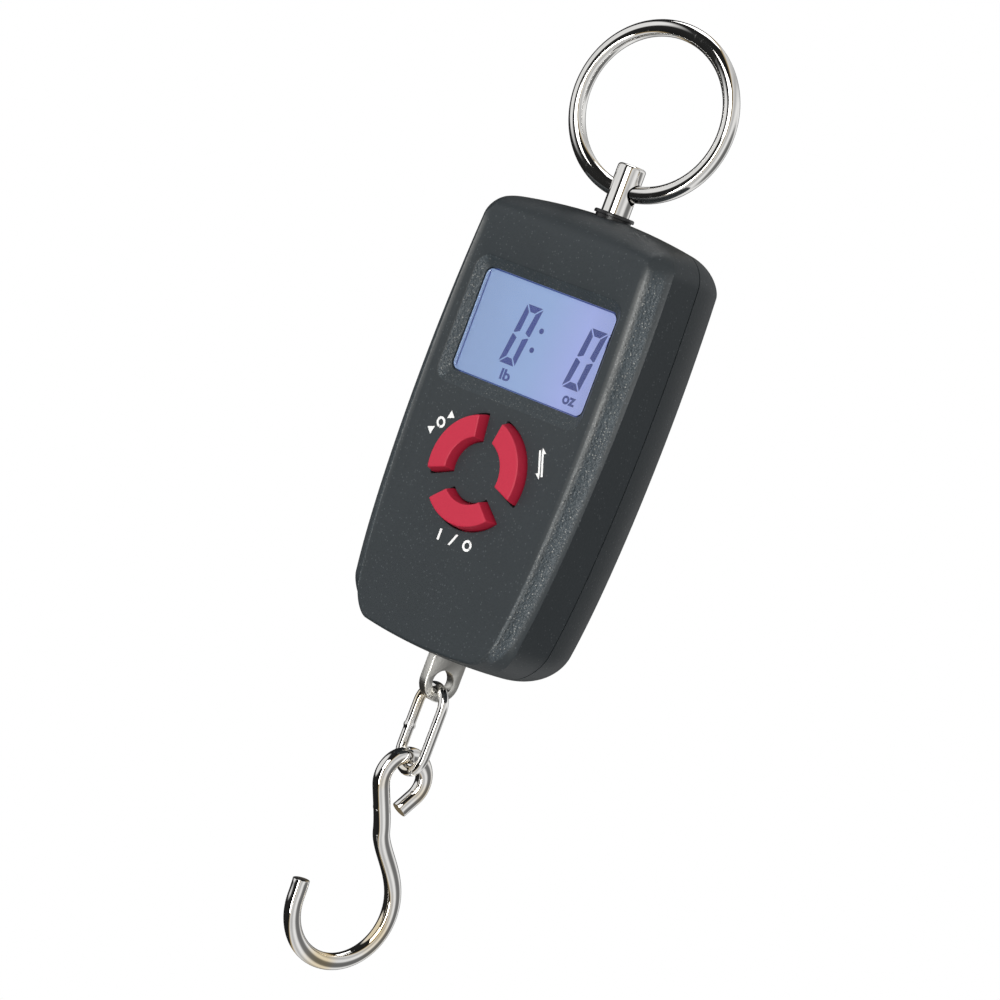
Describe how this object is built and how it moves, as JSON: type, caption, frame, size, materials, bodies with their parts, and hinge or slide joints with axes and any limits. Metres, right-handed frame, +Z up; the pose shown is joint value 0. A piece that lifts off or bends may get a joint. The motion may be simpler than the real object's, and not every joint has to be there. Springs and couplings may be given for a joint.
{
  "type": "hanging fish scale",
  "caption": "Handheld digital hanging scale for fish: a slim moulded case with a display and an arc-key ring, hung from a swivelling ring, with a load hook on a chain link below.",
  "frame": {"origin": "the inner top of the hanging ring, on the load axis, where a finger or a peg carries the scale", "axes": "+Z up the load axis; -Y out of the display; +X to the right for someone who reads the display"},
  "size_m": [0.0576, 0.0282, 0.2177],
  "materials": {
    "hanging_ring": "polished",
    "top_post": "polished",
    "post_washer": "plain",
    "post_nut": "plain",
    "front_case": "fine grain, coarser in the grip scoops",
    "rear_case": "fine grain",
    "case_screw_1": "zinc plated",
    "case_screw_2": "zinc plated",
    "case_screw_3": "zinc plated",
    "case_screw_4": "zinc plated",
    "top_bush": "smooth",
    "lcd_window": "clear plastic lens",
    "lcd_glass": "polished",
    "lcd_backlight": "clear light guide",
    "lcd_strip": "soft",
    "circuit_board": "solder mask",
    "board_screw_1": "zinc plated",
    "board_screw_2": "zinc plated",
    "key_switch_1": "moulded",
    "key_switch_2": "moulded",
    "key_switch_3": "moulded",
    "converter_chip": "moulded",
    "load_beam": "milled",
    "beam_screw_1": "zinc plated",
    "beam_screw_2": "zinc plated",
    "strain_gauge_1": "film",
    "strain_gauge_2": "film",
    "coin_cell_1": "satin",
    "coin_cell_2": "satin",
    "cell_contact_1": "nickel plated",
    "cell_contact_2": "nickel plated",
    "battery_door": "fine grain",
    "tare_button": "satin",
    "unit_button": "satin",
    "power_button": "satin",
    "hook_tab": "nickel plated",
    "tab_washer": "plain",
    "tab_nut": "plain",
    "chain_link": "polished",
    "hook": "polished"
  },
  "bodies": {
    "ring": {"hanging_ring": "hanging_ring"},
    "post": {"top_post": "top_post", "post_washer": "post_washer", "post_nut": "post_nut"},
    "case": {"front_case": "front_case", "rear_case": "rear_case", "case_screw_1": "case_screw_1", "case_screw_2": "case_screw_2", "case_screw_3": "case_screw_3", "case_screw_4": "case_screw_4", "top_bush": "top_bush", "lcd_window": "lcd_window", "lcd_glass": "lcd_glass", "lcd_backlight": "lcd_backlight", "lcd_strip": "lcd_strip", "circuit_board": "circuit_board", "board_screw_1": "board_screw_1", "board_screw_2": "board_screw_2", "key_switch_1": "key_switch_1", "key_switch_2": "key_switch_2", "key_switch_3": "key_switch_3", "converter_chip": "converter_chip", "load_beam": "load_beam", "beam_screw_1": "beam_screw_1", "beam_screw_2": "beam_screw_2", "strain_gauge_1": "strain_gauge_1", "strain_gauge_2": "strain_gauge_2", "coin_cell_1": "coin_cell_1", "coin_cell_2": "coin_cell_2", "cell_contact_1": "cell_contact_1", "cell_contact_2": "cell_contact_2"},
    "door": {"battery_door": "battery_door"},
    "tare_key": {"tare_button": "tare_button"},
    "unit_key": {"unit_button": "unit_button"},
    "power_key": {"power_button": "power_button"},
    "tab": {"hook_tab": "hook_tab", "tab_washer": "tab_washer", "tab_nut": "tab_nut"},
    "link": {"chain_link": "chain_link"},
    "hook": {"hook": "hook"}
  },
  "joints": [
    {"name": "ring_pivot", "type": "hinge", "parent": "ring", "child": "post", "pos_m": [0, 0, -0.03453], "axis": [0.9848, 0.1736, 0], "range_deg": [-90, 90]},
    {"name": "post_swivel", "type": "hinge", "parent": "post", "child": "case", "pos_m": [0, 0, -0.04083], "axis": [0, 0, 1], "continuous": true},
    {"name": "door_slide", "type": "slide", "parent": "case", "child": "door", "axis": [0, 0, -1], "range_m": [0, 0.012]},
    {"name": "tare_press", "type": "slide", "parent": "case", "child": "tare_key", "axis": [0, 1, 0], "range_m": [0, 0.0005], "stiffness_N_per_m": 600},
    {"name": "unit_press", "type": "slide", "parent": "case", "child": "unit_key", "axis": [0, 1, 0], "range_m": [0, 0.0005], "stiffness_N_per_m": 600},
    {"name": "power_press", "type": "slide", "parent": "case", "child": "power_key", "axis": [0, 1, 0], "range_m": [0, 0.0005], "stiffness_N_per_m": 600},
    {"name": "tab_swivel", "type": "hinge", "parent": "case", "child": "tab", "pos_m": [0, 0, -0.14143], "axis": [0, 0, 1], "continuous": true},
    {"name": "link_swing", "type": "hinge", "parent": "tab", "child": "link", "pos_m": [0, 0, -0.14803], "axis": [0.9659, -0.2588, 0], "range_deg": [-65, 65]},
    {"name": "hook_swing", "type": "hinge", "parent": "link", "child": "hook", "pos_m": [0, 0, -0.16728], "axis": [0.9659, -0.2588, 0], "range_deg": [-60, 60]}
  ]
}
